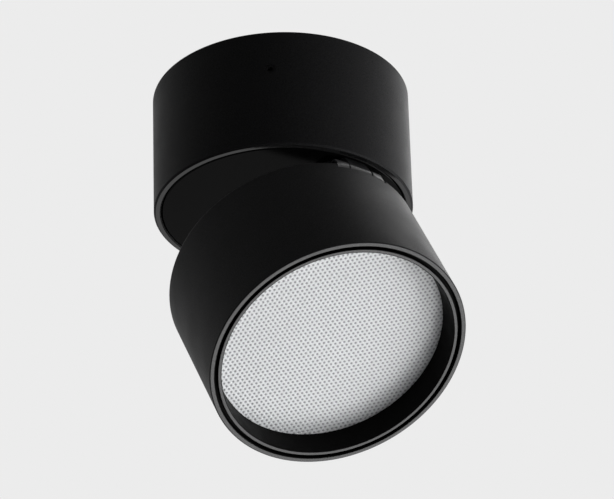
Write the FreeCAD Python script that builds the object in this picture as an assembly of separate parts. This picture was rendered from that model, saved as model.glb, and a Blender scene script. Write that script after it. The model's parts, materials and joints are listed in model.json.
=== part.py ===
import FreeCAD, Part
import math
import os

Vector = FreeCAD.Vector

# Sizes are in millimetres and angles in degrees. The origin is the centre of the face that meets
# the ceiling, +Z points up, and the hinge pin lies along X on the -Y side, where the light aims.

# Overall sizes
body_radius = 50.0  # both drums
base_height = 50.8
head_height = 54.0
hinge_gap = 7.5  # between the drums when the head is folded shut
rest_tilt = 28.5  # how far the head stands open in the stored pose
base_turn = 49.0  # from the hinge pin to the line of the two side screws, at rest

# Clearances
running_gap = 0.05  # round the turning shafts
sliding_gap = 0.05  # between flat faces that slide on each other
seat_gap = 0.02  # round fixed parts in their holes
assembly_gap = 0.1  # round covers and discs dropped into a bore

# Mounting bracket
bracket_thickness = 1.5
bracket_margin = 3.0  # of the round plate past the terminals
strap_width = 22.0
tab_width = 14.0
tab_drop = 22.0
tab_inset = 3.2  # from the drum's surface to the tab's outer face
ceiling_screw_radius = 2.25
ceiling_screw_circle = 30.0
slot_length = 12.0
slot_circle = 30.0
cable_hole_radius = 7.0

# Grommets
grommet_wall = 2.5
grommet_flange = 2.0
grommet_flange_thickness = 2.0

# Base housing
base_wall = 2.0
ceiling_gap = 0.5
lip_width = 2.8
lip_chamfer = 0.6
lip_inner_chamfer = 0.4
web_thickness = 3.0
post_radius = 3.5
earth_boss_radius = 4.0
earth_boss_height = 3.0
earth_boss_gap = 7.0  # from the driver's side
side_screw_radius = 2.0
side_screw_length = 6.5
side_screw_depth = 17.0  # below the ceiling
side_screw_inset = 0.3
hex_socket_flats = 2.0
hex_socket_depth = 1.8

# Swivel
disc_thickness = 2.8
disc_inset = 0.2
disc_clearance = 0.4
disc_chamfer = 0.4
tube_radius = 8.0
tube_wall = 2.0
tube_flange_width = 2.5
tube_flange_thickness = 1.2
tube_standout = 1.2
bush_wall = 1.8
bush_flange_width = 4.2
bush_flange_thickness = 1.0
glide_thickness = 0.4
glide_inset = 1.8  # inside the stop groove
washer_inset = 0.5  # inside the bush's flange
washer_thickness = 1.0
spring_thickness = 0.7
spring_cone_height = 0.8
nut_wall = 3.0
nut_height = 4.0
stop_circle = 24.0
stop_pin_radius = 1.0
stop_pin_length = 3.2
stop_pin_reach = 1.4  # into the groove
stop_pin_angle = 90.0
stop_groove_depth = 1.8
stop_groove_side = 0.2
stop_lug_width = 1.8

# Driver in the base
driver_length = 66.0
driver_width = 44.0
driver_wall = 1.5
driver_corner = 3.0
driver_clearance = 1.7  # over the swivel tube
driver_headroom = 2.4  # over the transformer
tray_height = 8.0
ear_length = 8.5
ear_width = 11.0
ear_thickness = 2.0
board_thickness = 1.6
board_rest_height = 2.0
board_margin = 0.4
transformer_length = 17.0
transformer_width = 15.0
transformer_height = 13.0
transformer_x = 7.0
capacitor_radius = 5.0
capacitor_headroom = 0.5  # under the transformer's top
capacitor_margin = 4.5  # from the driver's end wall
capacitor_y = 9.0
choke_radius = 5.5
choke_height = 9.0
choke_margin = 2.0  # from the other end wall
choke_core_inset = 1.1
lead_slot_width = 9.0
lead_slot_height = 3.0

# Supply terminals
terminal_pitch = 6.5
terminal_poles = 3
terminal_depth = 14.0
terminal_height = 11.0
terminal_step = 4.0
terminal_gap = 1.0  # from the driver's side
terminal_screw_radius = 1.6

# Screws with a round head, all of one size
screw_radius = 1.5
screw_head_radius = 2.75
screw_head_height = 1.8
screw_length = 7.0

# Hinge
hinge_inset = 3.5  # from the drum's surface to the pin
pin_rise = 1.0  # of the pin over the head's back edge
pin_radius = 1.5
pin_head_radius = 2.2
pin_head_thickness = 0.8
knuckle_radius = 3.0
knuckle_width = 10.0
knuckle_clearance = 0.5
friction_washer_thickness = 0.5
friction_washer_radius = 2.6
ear_knuckle_width = 5.3
notch_clearance = 0.6
surface_inset = 0.2  # of the knuckles under the drum's surface
arm_foot_width = 18.0
arm_foot_length = 15.0
arm_foot_thickness = 2.5
arm_setback = 1.2  # of the arm's root inside the disc's edge
arm_screw_spacing = 10.0
bracket_block_height = 6.0
bracket_block_length = 13.5
bracket_screw_spacing = 12.0
bracket_screw_setback = 4.0
bracket_screw_length = 10.0
countersink_radius = 2.9
countersink_depth = 1.6

# Head housing, depths counted from its front rim
head_wall = 2.0
back_edge_round = 1.0
front_chamfer = 0.3
ledge_depth = 30.0
ledge_thickness = 3.0
ledge_width = 6.0

# Inner ring, diffuser and reflector
groove_width = 0.8
groove_depth = 2.2
ring_inset = 0.1
ring_lip_width = 1.9
ring_taper = 0.95
ring_depth = 10.2
ring_flange_height = 2.8
ring_skirt_inset = 1.3  # from the housing's bore
ring_edge = 0.3
diffuser_thickness = 2.0
diffuser_radius_gap = 0.6
reflector_wall = 1.2
reflector_flange = 1.5
reflector_mouth_inset = 3.0
reflector_base_inset = 1.5  # inside the board's edge

# Light source and heat sink
led_board_gap = 2.0  # round the board, inside the housing's ledge
led_board_thickness = 1.6
led_length = 3.5
led_width = 2.8
led_height = 0.7
led_edge_inset = 4.5  # of the outer ring, inside the reflector
led_ring_pitch = 11.0
led_counts = (18, 12, 6)  # from the outer ring inwards
connector_length = 5.0
connector_width = 4.0
connector_height = 3.5
lead_hole_radius = 4.0
pad_thickness = 0.4
sink_disc_thickness = 4.0
sink_seat_height = 1.4
sink_seat_margin = 0.4  # past the board's edge
fin_count = 20
fin_thickness = 1.6
fin_clearance = 0.8  # under the hinge bracket's block
fin_margin = 3.0
sink_hub_radius = 16.0
sink_post_radius = 3.5
cover_screw_inset = 12.0  # from the housing's bore
cover_thickness = 2.5
cover_inset = 0.6
cover_hole_radius = 6.5

# Levels of the base and the swivel
lip_radius = body_radius - lip_width
lip_level = -base_height
disc_face = lip_level + disc_inset
disc_back = disc_face + disc_thickness
web_under = disc_back + glide_thickness + sliding_gap
web_top = web_under + web_thickness
bush_top = web_top + bush_flange_thickness
washer_under = bush_top + sliding_gap
spring_under = washer_under + washer_thickness
nut_under = spring_under + spring_thickness + spring_cone_height
tube_top = nut_under + nut_height + tube_standout
driver_under = tube_top + driver_clearance
board_under = driver_under + driver_wall + board_rest_height
board_top = board_under + board_thickness
driver_top = board_top + transformer_height + driver_headroom + driver_wall

# Widths and places in the base
tube_bore = tube_radius - tube_wall
tube_flange_radius = tube_radius + tube_flange_width
bush_flange_radius = tube_radius + bush_wall + bush_flange_width
washer_radius = bush_flange_radius - washer_inset
nut_flats = 2 * (tube_radius + nut_wall)
groove_inner = stop_circle - stop_pin_radius - stop_groove_side
groove_outer = stop_circle + stop_pin_radius + stop_groove_side
post_circle = (driver_length + ear_length) / 2
capacitor_x = capacitor_margin + driver_wall + capacitor_radius - driver_length / 2
choke_x = driver_length / 2 - driver_wall - choke_margin - choke_radius
earth_boss_y = driver_width / 2 + earth_boss_gap + earth_boss_radius
terminal_y = -driver_width / 2 - terminal_gap - terminal_depth / 2
bracket_radius = terminal_depth / 2 - terminal_y + bracket_margin

# Hinge position, head closed
head_back = lip_level - hinge_gap
head_face = head_back - head_height
pin_y = hinge_inset - body_radius
pin_z = head_back + pin_rise
pin_centre = Vector(0, pin_y, pin_z)
ear_inner = knuckle_width / 2 + friction_washer_thickness + 2 * sliding_gap
ear_outer = ear_inner + ear_knuckle_width
notch_half_width = ear_outer + notch_clearance
notch_floor = pin_z - knuckle_radius - knuckle_clearance
head_bore = body_radius - head_wall
cover_top = head_back - cover_inset
cover_under = cover_top - cover_thickness
block_inner_y = pin_y + bracket_block_length
block_under = cover_top - bracket_block_height
bracket_screw_y = block_inner_y - bracket_screw_setback
arm_foot_inner_y = arm_setback + disc_clearance - lip_radius + arm_foot_length
arm_screw_y = arm_foot_inner_y - arm_foot_length / 3
arm_foot_under = disc_face - arm_foot_thickness

# Levels inside the head
ledge_front = head_face + ledge_depth
ledge_back = ledge_front + ledge_thickness
sink_front = ledge_back - sink_seat_height
sink_back = ledge_back + sink_disc_thickness
led_board_back = sink_front - pad_thickness
led_board_front = led_board_back - led_board_thickness
diffuser_front = head_face + ring_depth
diffuser_back = diffuser_front + diffuser_thickness
fin_top = block_under - fin_clearance

# Widths inside the head
ring_outer = head_bore - groove_width
ring_mouth = ring_outer - ring_lip_width
diffuser_radius = head_bore - diffuser_radius_gap
ledge_radius = head_bore - ledge_width
sink_screw_circle = head_bore - ledge_width / 2
cover_screw_circle = head_bore - cover_screw_inset
led_board_radius = ledge_radius - led_board_gap
reflector_base_radius = led_board_radius - reflector_base_inset
led_circle = reflector_base_radius - led_edge_inset
board_screw_circle = led_circle - led_ring_pitch / 2
connector_y = led_ring_pitch * 3 / 2 - led_circle

up = Vector(0, 0, 1)
origin = Vector(0, 0, 0)


def save(name, shape):
    shape.exportStep("parts/" + name + ".step")


def save_base(name, shape):
    save(name, shape.rotated(origin, up, base_turn))


def save_head(name, shape):
    save(name, shape.rotated(pin_centre, Vector(-1, 0, 0), rest_tilt))


def rounded_corner(before, here, after):
    """Start, middle and end of the arc that rounds a corner given as (u, v, radius)."""
    corner = Vector(here[0], here[1], 0)
    to_before = (Vector(before[0], before[1], 0) - corner).normalize()
    to_after = (Vector(after[0], after[1], 0) - corner).normalize()
    half_angle = to_before.getAngle(to_after) / 2
    cut_back = here[2] / math.tan(half_angle)
    middle_distance = here[2] / math.sin(half_angle) - here[2]
    inward = (to_before + to_after).normalize()
    return corner + to_before * cut_back, corner + inward * middle_distance, corner + to_after * cut_back


def outline(corners, place):
    """Closed wire through (u, v) or (u, v, radius) corners, set in space by place(u, v)."""
    count = len(corners)
    stops = []
    for index, corner in enumerate(corners):
        if len(corner) == 3:
            stops.append(rounded_corner(corners[index - 1], corner, corners[(index + 1) % count]))
        else:
            stops.append((Vector(corner[0], corner[1], 0),))
    edges = []
    for index, stop in enumerate(stops):
        placed = [place(point.x, point.y) for point in stop]
        if len(placed) == 3:
            edges.append(Part.Arc(*placed).toShape())
        following = place(stops[(index + 1) % count][0].x, stops[(index + 1) % count][0].y)
        edges.append(Part.makeLine(placed[-1], following))
    return Part.Wire(edges)


def turned(corners, angle=360.0):
    """Solid turned about Z from a profile of (radius, height) corners."""
    profile = Part.Face(outline(corners, lambda radius, height: Vector(radius, 0, height)))
    return profile.revolve(origin, up, angle)


def ring(inner, outer, low, high):
    return turned([(inner, low), (outer, low), (outer, high), (inner, high)])


def rod(radius, low, high, x=0.0, y=0.0):
    return Part.makeCylinder(radius, high - low, Vector(x, y, low), up)


def cross_rod(radius, start, end):
    """Round bar along X on the hinge pin's axis."""
    return Part.makeCylinder(radius, end - start, Vector(start, pin_y, pin_z), Vector(1, 0, 0))


def block(x_size, y_size, low, high, x=0.0, y=0.0):
    return Part.makeBox(x_size, y_size, high - low, Vector(x - x_size / 2, y - y_size / 2, low))


def rounded_block(x_size, y_size, corner, low, high):
    half_x = x_size / 2
    half_y = y_size / 2
    corners = [(-half_x, -half_y, corner), (half_x, -half_y, corner)]
    corners += [(half_x, half_y, corner), (-half_x, half_y, corner)]
    return Part.Face(outline(corners, lambda x, y: Vector(x, y, low))).extrude(up * (high - low))


def hinge_profile(corners, start, end):
    """Plate of the hinge, its profile given as (y, z) corners and its faces at x = start and end."""
    face = Part.Face(outline(corners, lambda y, z: Vector(start, y, z)))
    return face.extrude(Vector(end - start, 0, 0))


def hexagon(flats, low, high):
    radius = flats / math.sqrt(3)
    corners = [(radius * math.cos(math.radians(60 * k)), radius * math.sin(math.radians(60 * k)))
               for k in range(6)]
    return Part.Face(outline(corners, lambda x, y: Vector(x, y, low))).extrude(up * (high - low))


def slot(length, width, low, high, x):
    bar = block(length - width, width, low, high, x)
    ends = [rod(width / 2, low, high, x + side * (length - width) / 2) for side in (-1, 1)]
    return bar.fuse(ends).removeSplitter()


def on_circle(radius, count, start):
    """Points evenly spaced on a circle, the first at the start angle."""
    angles = [math.radians(start + 360.0 * k / count) for k in range(count)]
    return [(radius * math.cos(angle), radius * math.sin(angle)) for angle in angles]


def round_head_screw(seat, x, y, direction, length=screw_length):
    """Screw whose head sits on the level seat, its shank pointing up (1) or down (-1)."""
    shank = Part.makeCylinder(screw_radius, length, Vector(x, y, seat), up * direction)
    head = Part.makeCylinder(screw_head_radius, screw_head_height, Vector(x, y, seat), up * -direction)
    return shank.fuse(head).removeSplitter()


def countersunk_screw(seat, x, y, length):
    """Screw pointing down, its flat head level with the seat."""
    cone = Part.makeCone(screw_radius, countersink_radius, countersink_depth,
                         Vector(x, y, seat - countersink_depth), up)
    shank = rod(screw_radius, seat - length, seat - countersink_depth, x, y)
    return cone.fuse(shank).removeSplitter()


def countersunk_hole(seat, x, y, through):
    cone = Part.makeCone(screw_radius + seat_gap, countersink_radius + seat_gap, countersink_depth,
                         Vector(x, y, seat - countersink_depth), up)
    return cone.fuse(rod(screw_radius + seat_gap, through, seat, x, y))


def tangent_point(point, centre, radius, side):
    """Where the line from a (y, z) point touches a circle, on the side +1 (left) or -1 (right)."""
    offset_y = centre[0] - point[0]
    offset_z = centre[1] - point[1]
    distance = math.hypot(offset_y, offset_z)
    turn = math.atan2(offset_z, offset_y) + side * math.asin(radius / distance)
    reach = math.sqrt(distance * distance - radius * radius)
    return point[0] + reach * math.cos(turn), point[1] + reach * math.sin(turn)


def side_holes(radius):
    """The two holes along X for the side fixing screws."""
    start = Vector(-body_radius, 0, -side_screw_depth)
    return Part.makeCylinder(radius, 2 * body_radius, start, Vector(1, 0, 0))


def terminal_places():
    first = -terminal_pitch * (terminal_poles - 1) / 2
    return [first + terminal_pitch * k for k in range(terminal_poles)]


# Ceiling base


def mounting_bracket():
    tab_outer = body_radius - tab_inset
    low = -bracket_thickness
    plate = rod(bracket_radius, low, 0)
    plate = plate.fuse(block(2 * tab_outer, strap_width, low, 0))
    for side in (-1, 1):
        tab_x = side * (tab_outer - bracket_thickness / 2)
        plate = plate.cut(block(2 * bracket_thickness, strap_width - tab_width, low, 0, tab_x,
                                strap_width / 2))
        plate = plate.cut(block(2 * bracket_thickness, strap_width - tab_width, low, 0, tab_x,
                                -strap_width / 2))
        plate = plate.fuse(block(bracket_thickness, tab_width, -tab_drop, 0, tab_x))
    cuts = [rod(cable_hole_radius, low, 0), side_holes(side_screw_radius + seat_gap)]
    for x, y in on_circle(ceiling_screw_circle, 4, 45):
        cuts.append(rod(ceiling_screw_radius, low, 0, x, y))
    for side in (-1, 1):
        cuts.append(slot(slot_length, 2 * ceiling_screw_radius, low, 0, side * slot_circle))
    for x in terminal_places()[:-1]:
        cuts.append(rod(terminal_screw_radius, low, 0, x + terminal_pitch / 2, terminal_y))
    return plate.cut(cuts).removeSplitter()


def grommet(bore, hole_radius, neck_low, neck_high, flange_low, flange_high):
    """Rubber sleeve with one flange."""
    neck = ring(bore, hole_radius - seat_gap, neck_low, neck_high)
    flange = ring(bore, hole_radius + grommet_flange, flange_low, flange_high)
    return neck.fuse(flange).removeSplitter()


def cable_grommet():
    under = -bracket_thickness
    return grommet(cable_hole_radius - grommet_wall, cable_hole_radius, under, -assembly_gap,
                   under - grommet_flange_thickness, under)


def base_housing():
    inner = body_radius - base_wall
    shell = turned([
        (inner, -ceiling_gap), (inner, web_top), (tube_radius + bush_wall, web_top),
        (tube_radius + bush_wall, web_under), (lip_radius, web_under),
        (lip_radius, lip_level + lip_inner_chamfer), (lip_radius + lip_inner_chamfer, lip_level),
        (body_radius - lip_chamfer, lip_level), (body_radius, lip_level + lip_chamfer),
        (body_radius, -ceiling_gap)])
    posts = [rod(post_radius, web_top, driver_under, side * post_circle) for side in (-1, 1)]
    posts.append(rod(earth_boss_radius, web_top, web_top + earth_boss_height, 0, earth_boss_y))
    cuts = [side_holes(side_screw_radius + seat_gap), stop_groove()]
    for side in (-1, 1):
        cuts.append(rod(screw_radius + seat_gap, driver_under - screw_length, driver_under,
                        side * post_circle))
    cuts.append(rod(screw_radius + seat_gap, web_top, web_top + earth_boss_height, 0, earth_boss_y))
    return shell.fuse(posts).cut(cuts).removeSplitter()


def stop_groove():
    """Groove under the web for the stop pin, interrupted by the lug that stops it."""
    lug_half_angle = math.degrees(math.asin(stop_lug_width / 2 / stop_circle))
    lug_angle = stop_pin_angle + 180 - base_turn
    top = web_under + stop_groove_depth
    arc = turned([(groove_inner, web_under), (groove_outer, web_under), (groove_outer, top),
                  (groove_inner, top)], 360 - 2 * lug_half_angle)
    return arc.rotated(origin, up, lug_angle + lug_half_angle)


def side_fixing_screws():
    screws = []
    for side in (-1, 1):
        outer = body_radius - side_screw_inset
        start = Vector(side * outer, 0, -side_screw_depth)
        inward = Vector(-side, 0, 0)
        screw = Part.makeCylinder(side_screw_radius, side_screw_length, start, inward)
        socket = hexagon(hex_socket_flats, 0, hex_socket_depth)
        socket = socket.rotated(origin, Vector(0, 1, 0), -90 * side)
        screws.append(screw.cut(socket.translated(start)))
    return Part.makeCompound(screws)


def swivel_bush():
    inner = tube_radius + running_gap
    outer = tube_radius + bush_wall - seat_gap
    return turned([(inner, web_under), (outer, web_under), (outer, web_top),
                   (bush_flange_radius, web_top), (bush_flange_radius, bush_top), (inner, bush_top)])


def driver_tray():
    tray_top = driver_under + tray_height
    shell = rounded_block(driver_length, driver_width, driver_corner, driver_under, tray_top)
    hollow = rounded_block(driver_length - 2 * driver_wall, driver_width - 2 * driver_wall,
                           driver_corner - driver_wall, driver_under + driver_wall, tray_top)
    ears = []
    for side in (-1, 1):
        ears.append(block(ear_length, ear_width, driver_under, driver_under + ear_thickness,
                          side * post_circle))
    rests = []
    for side in (-1, 1):
        rests.append(block(driver_wall, driver_width / 2, driver_under + driver_wall, board_under,
                           side * driver_length / 4))
    holes = [rod(screw_radius + seat_gap, driver_under, driver_under + ear_thickness,
                 side * post_circle) for side in (-1, 1)]
    return shell.cut(hollow).fuse(ears + rests).cut(holes).removeSplitter()


def driver_cover():
    low = driver_under + tray_height
    shell = rounded_block(driver_length, driver_width, driver_corner, low, driver_top)
    hollow = rounded_block(driver_length - 2 * driver_wall, driver_width - 2 * driver_wall,
                           driver_corner - driver_wall, low, driver_top - driver_wall)
    lead_slots = block(driver_length, lead_slot_width, low, low + lead_slot_height)
    return shell.cut([hollow, lead_slots]).removeSplitter()


def driver_board():
    margin = 2 * (driver_wall + board_margin)
    return rounded_block(driver_length - margin, driver_width - margin, driver_corner - driver_wall,
                         board_under, board_top)


def driver_transformer():
    """Wound core: a bobbin between two end cheeks."""
    top = board_top + transformer_height
    core = block(transformer_length, transformer_width, board_top, top, transformer_x)
    for side in (-1, 1):
        core = core.cut(block(transformer_length / 2, transformer_width / 4, board_top, top,
                              transformer_x, side * transformer_width * 3 / 8))
    return core


def driver_capacitors():
    top = board_top + transformer_height - capacitor_headroom
    return Part.makeCompound([rod(capacitor_radius, board_top, top, capacitor_x, side * capacitor_y)
                              for side in (-1, 1)])


def driver_choke():
    coil = rod(choke_radius - choke_core_inset, board_top, board_top + choke_height, choke_x)
    for low in (board_top, board_top + choke_height - driver_wall):
        coil = coil.fuse(rod(choke_radius, low, low + driver_wall, choke_x))
    return coil.removeSplitter()


def driver_screws():
    seat = driver_under + ear_thickness
    return Part.makeCompound([round_head_screw(seat, side * post_circle, 0, -1) for side in (-1, 1)])


def terminal_block():
    """Row of terminals under the bracket, stepped where the leads enter."""
    top = -bracket_thickness
    length = terminal_pitch * terminal_poles
    half = terminal_depth / 2
    corners = [(-half, top), (-half, top - terminal_step), (-half / 2, top - terminal_height),
               (half / 2, top - terminal_height), (half, top - terminal_step), (half, top)]
    face = Part.Face(outline(corners, lambda y, z: Vector(-length / 2, y + terminal_y, z)))
    body = face.extrude(Vector(length, 0, 0))
    wells = [rod(terminal_screw_radius + seat_gap, top - terminal_height, top - terminal_step, x,
                 terminal_y) for x in terminal_places()]
    return body.cut(wells)


def terminal_screws():
    low = -bracket_thickness - terminal_height + terminal_step / 2
    high = -bracket_thickness - terminal_step
    return Part.makeCompound([rod(terminal_screw_radius, low, high, x, terminal_y)
                              for x in terminal_places()])


def earth_screw():
    return round_head_screw(web_top + earth_boss_height, 0, earth_boss_y, -1, earth_boss_height)


# Swivel


def swivel_disc():
    outer = lip_radius - disc_clearance
    hole = tube_radius + seat_gap
    counterbore = tube_flange_radius + seat_gap
    flange_level = disc_face + tube_flange_thickness
    disc = turned([
        (hole, disc_back), (hole, flange_level), (counterbore, flange_level), (counterbore, disc_face),
        (outer - disc_chamfer, disc_face), (outer, disc_face + disc_chamfer), (outer, disc_back)])
    cuts = [countersunk_hole(disc_back, x, arm_screw_y, disc_face) for x in arm_screw_places()]
    stop_x, stop_y = on_circle(stop_circle, 1, stop_pin_angle)[0]
    pin_low = web_under + stop_pin_reach - stop_pin_length
    cuts.append(rod(stop_pin_radius + seat_gap, pin_low, disc_back, stop_x, stop_y))
    return disc.cut(cuts).removeSplitter()


def arm_screw_places():
    return [-arm_screw_spacing / 2, arm_screw_spacing / 2]


def swivel_tube():
    flange_top = disc_face + tube_flange_thickness
    return turned([(tube_bore, disc_face), (tube_flange_radius, disc_face),
                   (tube_flange_radius, flange_top), (tube_radius, flange_top),
                   (tube_radius, tube_top), (tube_bore, tube_top)])


def swivel_glide_washer():
    outer = groove_inner - glide_inset
    return ring(tube_radius + seat_gap, outer, disc_back, disc_back + glide_thickness)


def swivel_washer():
    return ring(tube_radius + seat_gap, washer_radius, washer_under, spring_under)


def swivel_spring_washer():
    inner = tube_radius + seat_gap
    rise = spring_cone_height
    return turned([(inner, spring_under + rise), (washer_radius, spring_under),
                   (washer_radius, spring_under + spring_thickness),
                   (inner, spring_under + rise + spring_thickness)])


def swivel_nut():
    top = nut_under + nut_height
    return hexagon(nut_flats, nut_under, top).cut(rod(tube_radius + seat_gap, nut_under, top))


def swivel_stop_pin():
    x, y = on_circle(stop_circle, 1, stop_pin_angle)[0]
    top = web_under + stop_pin_reach
    return rod(stop_pin_radius, top - stop_pin_length, top, x, y)


def tube_grommet():
    return ring(tube_bore - grommet_wall, tube_bore - seat_gap, disc_face, disc_back)


def hinge_arm():
    """Foot under the disc, and the middle knuckle that reaches down and out to the pin."""
    centre = (pin_y, pin_z)
    half = knuckle_width / 2
    root = (arm_foot_inner_y - arm_foot_length, disc_face)
    heel = (pin_y + knuckle_radius + knuckle_clearance, arm_foot_under)
    outer_touch = tangent_point(root, centre, knuckle_radius, -1)
    inner_touch = tangent_point(heel, centre, knuckle_radius, 1)
    neck = hinge_profile([root, outer_touch, centre, inner_touch, heel,
                          (arm_foot_inner_y, arm_foot_under), (arm_foot_inner_y, disc_face)],
                         -half, half)
    knuckle = cross_rod(knuckle_radius, -half, half)
    foot = rounded_block(arm_foot_width, arm_foot_length * 2 / 3, driver_corner, arm_foot_under,
                         disc_face)
    foot.translate(Vector(0, arm_foot_inner_y - arm_foot_length / 3, 0))
    arm = neck.fuse([knuckle, foot])
    limit = rod(body_radius - surface_inset, pin_z - knuckle_radius, disc_face)
    cuts = [cross_rod(pin_radius + running_gap, -half, half)]
    for x in arm_screw_places():
        cuts.append(rod(screw_radius + seat_gap, arm_foot_under, disc_face, x, arm_screw_y))
    return arm.common(limit).cut(cuts).removeSplitter()


def hinge_arm_screws():
    length = disc_thickness + arm_foot_thickness * 0.8
    return Part.makeCompound([countersunk_screw(disc_back, x, arm_screw_y, length)
                              for x in arm_screw_places()])


# Light head, modelled folded shut and then opened to the stored pose


def head_housing():
    tube = turned([
        (head_bore, head_back), (head_bore, ledge_back), (ledge_radius, ledge_back),
        (ledge_radius, ledge_front), (head_bore, ledge_front), (head_bore, head_face),
        (body_radius - front_chamfer, head_face), (body_radius, head_face + front_chamfer),
        (body_radius, head_back, back_edge_round)])
    notch = block(2 * notch_half_width, body_radius, notch_floor, head_back, 0, -body_radius)
    holes = [rod(screw_radius + seat_gap, ledge_front, ledge_back, x, y)
             for x, y in on_circle(sink_screw_circle, 3, 90)]
    return tube.cut([notch] + holes).removeSplitter()


def anti_glare_ring():
    front = head_face + ring_inset
    flange_front = head_face + groove_depth
    flange_back = flange_front + ring_flange_height
    flange_radius = head_bore - assembly_gap
    skirt_radius = head_bore - ring_skirt_inset
    return turned([
        (ring_mouth, front + ring_edge), (ring_mouth + ring_edge, front), (ring_outer, front),
        (ring_outer, flange_front), (flange_radius, flange_front), (flange_radius, flange_back),
        (skirt_radius, flange_back), (skirt_radius, diffuser_front),
        (ring_mouth - ring_taper, diffuser_front)])


def diffuser():
    return rod(diffuser_radius, diffuser_front, diffuser_back)


def reflector():
    """White cone from the board to the diffuser, with a flange that carries the diffuser."""
    mouth = head_bore - reflector_mouth_inset
    flange_back = diffuser_back + reflector_flange
    return turned([
        (mouth, diffuser_back), (diffuser_radius, diffuser_back), (diffuser_radius, flange_back),
        (mouth + reflector_wall, flange_back),
        (reflector_base_radius + reflector_wall, led_board_front),
        (reflector_base_radius, led_board_front)])


def led_board():
    board = rod(led_board_radius, led_board_front, led_board_back)
    holes = [rod(lead_hole_radius, led_board_front, led_board_back)]
    holes += [rod(screw_radius + seat_gap, led_board_front, led_board_back, x, y)
              for x, y in on_circle(board_screw_circle, 3, 90)]
    return board.cut(holes)


def led_chips():
    low = led_board_front - led_height
    chips = []
    for index, count in enumerate(led_counts):
        for k in range(count):
            chip = block(led_length, led_width, low, led_board_front,
                         led_circle - index * led_ring_pitch)
            chips.append(chip.rotated(origin, up, 360.0 * k / count))
    return Part.makeCompound(chips)


def board_screws():
    length = led_board_thickness + pad_thickness + sink_disc_thickness
    return Part.makeCompound([round_head_screw(led_board_front, x, y, 1, length)
                              for x, y in on_circle(board_screw_circle, 3, 90)])


def board_connector():
    """Socket between two rings of LEDs, its mouth towards the lead hole."""
    low = led_board_front - connector_height
    shell = block(connector_length, connector_width, low, led_board_front, 0, connector_y)
    mouth = block(connector_length / 2, connector_width, low + connector_height / 4,
                  led_board_front - connector_height / 4, 0, connector_y + connector_width / 4)
    return shell.cut(mouth)


def thermal_pad():
    pad = ring(lead_hole_radius, led_board_radius, led_board_back, sink_front)
    holes = [rod(screw_radius + seat_gap, led_board_back, sink_front, x, y)
             for x, y in on_circle(board_screw_circle, 3, 90)]
    return pad.cut(holes)


def heat_sink():
    """Disc with a raised seat for the board, radial fins round a hub, and posts for the cover."""
    outer = head_bore - assembly_gap
    seat = led_board_radius + sink_seat_margin
    sink = turned([
        (lead_hole_radius, sink_front), (seat, sink_front), (seat, ledge_back), (outer, ledge_back),
        (outer, sink_back), (sink_hub_radius, sink_back), (sink_hub_radius, fin_top),
        (lead_hole_radius, fin_top)])
    fin_start = (sink_hub_radius + lead_hole_radius) / 2
    fin_end = outer - fin_margin
    fins = []
    for k in range(fin_count):
        fin = Part.makeBox(fin_end - fin_start, fin_thickness, fin_top - sink_back,
                           Vector(fin_start, -fin_thickness / 2, sink_back))
        fins.append(fin.rotated(origin, up, 360.0 * (k + 0.5) / fin_count))
    posts = [rod(sink_post_radius, sink_back, cover_under, x, y)
             for x, y in on_circle(cover_screw_circle, 3, 90)]
    posts += [rod(sink_post_radius, sink_back, block_under, x, bracket_screw_y)
              for x in bracket_screw_places()]
    holes = [rod(screw_radius + seat_gap, sink_back, cover_under, x, y)
             for x, y in on_circle(cover_screw_circle, 3, 90)]
    holes += [rod(screw_radius + seat_gap, sink_back, block_under, x, bracket_screw_y)
              for x in bracket_screw_places()]
    holes += [rod(screw_radius + seat_gap, sink_front, sink_back, x, y)
              for x, y in on_circle(board_screw_circle, 3, 90)]
    holes += [rod(screw_radius + seat_gap, ledge_back, sink_back, x, y)
              for x, y in on_circle(sink_screw_circle, 3, 90)]
    return sink.fuse(fins + posts).cut(holes).removeSplitter()


def heat_sink_screws():
    length = ledge_thickness + sink_disc_thickness
    return Part.makeCompound([round_head_screw(ledge_front, x, y, 1, length)
                              for x, y in on_circle(sink_screw_circle, 3, 90)])


def rear_cover():
    cover = ring(cover_hole_radius, head_bore - assembly_gap, cover_under, cover_top)
    window_depth = block_inner_y + notch_clearance + body_radius
    window = Part.makeBox(2 * notch_half_width, window_depth, cover_thickness,
                          Vector(-notch_half_width, -body_radius, cover_under))
    holes = [countersunk_hole(cover_top, x, y, cover_under)
             for x, y in on_circle(cover_screw_circle, 3, 90)]
    return cover.cut([window] + holes)


def rear_cover_screws():
    return Part.makeCompound([countersunk_screw(cover_top, x, y, screw_length)
                              for x, y in on_circle(cover_screw_circle, 3, 90)])


def lead_grommet():
    return grommet(cover_hole_radius - grommet_wall, cover_hole_radius, cover_under, cover_top,
                   cover_top, cover_top + grommet_flange_thickness / 2)


def bracket_screw_places():
    return [-bracket_screw_spacing / 2, bracket_screw_spacing / 2]


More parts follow.
